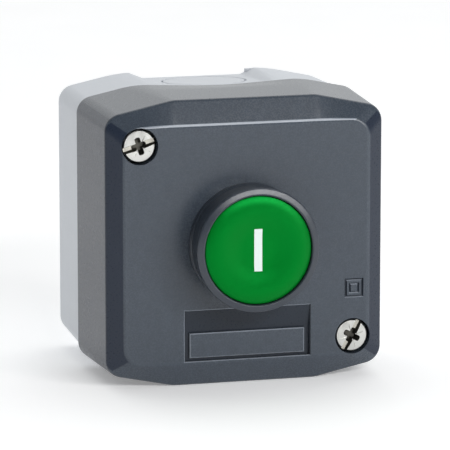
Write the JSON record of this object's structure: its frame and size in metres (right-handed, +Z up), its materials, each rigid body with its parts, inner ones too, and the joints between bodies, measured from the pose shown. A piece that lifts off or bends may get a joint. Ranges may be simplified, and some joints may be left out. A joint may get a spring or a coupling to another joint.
{
  "type": "push button control station",
  "caption": "Wall push-button control station: light grey base, dark grey screwed cover, flush green button with a white bar in a round bezel, contact block inside.",
  "frame": {"origin": "where the push button's axis meets the wall: the centre of the base's rear face", "axes": "+X to the right and +Z up as seen from in front; +Y points into the wall, so the button faces -Y and is pressed along +Y"},
  "size_m": [0.068, 0.062, 0.067],
  "materials": {
    "base_plastic": "smooth moulded polycarbonate, satin",
    "cover_plastic": "fine spark-eroded texture on the front, smoother sides",
    "bezel_plastic": "satin moulded plastic",
    "cap_plastic": "satin gloss moulded plastic",
    "mark_plastic": "satin gloss moulded plastic",
    "black_plastic": "moulded, glass-filled",
    "grey_plastic": "moulded",
    "carrier_plastic": "moulded",
    "seal_rubber": "moulded elastomer",
    "plated_steel": "zinc-nickel plated, fine scratches",
    "spring_steel": "drawn wire",
    "contact_brass": "stamped strip",
    "contact_silver": "silver alloy rivet"
  },
  "bodies": {
    "enclosure": {"rear_box": "base_plastic", "block_housing": "black_plastic", "block_side_cover": "black_plastic", "upper_fixed_contact": "contact_brass", "lower_fixed_contact": "contact_brass", "fixed_contact_tips": "contact_silver", "terminal_screws": "plated_steel", "terminal_clamps": "plated_steel", "block_return_spring": "spring_steel"},
    "cover": {"front_cover": "cover_plastic", "cover_gasket": "seal_rubber", "cover_screws": "plated_steel", "cover_screw_seals": "seal_rubber", "button_bezel": "bezel_plastic", "bezel_gasket": "seal_rubber", "fixing_nut": "grey_plastic", "button_return_spring": "spring_steel"},
    "button": {"button_cap": "cap_plastic", "cap_mark": "mark_plastic", "button_plunger": "black_plastic", "plunger_seal": "seal_rubber"},
    "carrier": {"contact_carrier": "carrier_plastic", "contact_spring": "spring_steel"},
    "bridge": {"contact_bridge": "contact_brass", "bridge_contact_tips": "contact_silver"}
  },
  "joints": [
    {"name": "cover_release", "type": "slide", "parent": "enclosure", "child": "cover", "axis": [0, -1, 0], "range_m": [0, 0.06]},
    {"name": "button_press", "type": "slide", "parent": "cover", "child": "button", "axis": [0, 1, 0], "range_m": [0, 0.0043], "stiffness_N_per_m": 550, "springref_m": -0.0025, "deforming": ["button_return_spring"]},
    {"name": "carrier_travel", "type": "slide", "parent": "enclosure", "child": "carrier", "axis": [0, 1, 0], "range_m": [0, 0.0043], "deforming": ["block_return_spring"]},
    {"name": "bridge_travel", "type": "slide", "parent": "carrier", "child": "bridge", "axis": [0, -1, 0], "range_m": [0, 0.0017], "deforming": ["contact_spring"]}
  ],
  "couplings": [
    {"joint": "carrier_travel", "follows": "button_press", "ratio": 1},
    {"joint": "bridge_travel", "follows": "button_press", "ratio": 0.39534}
  ]
}
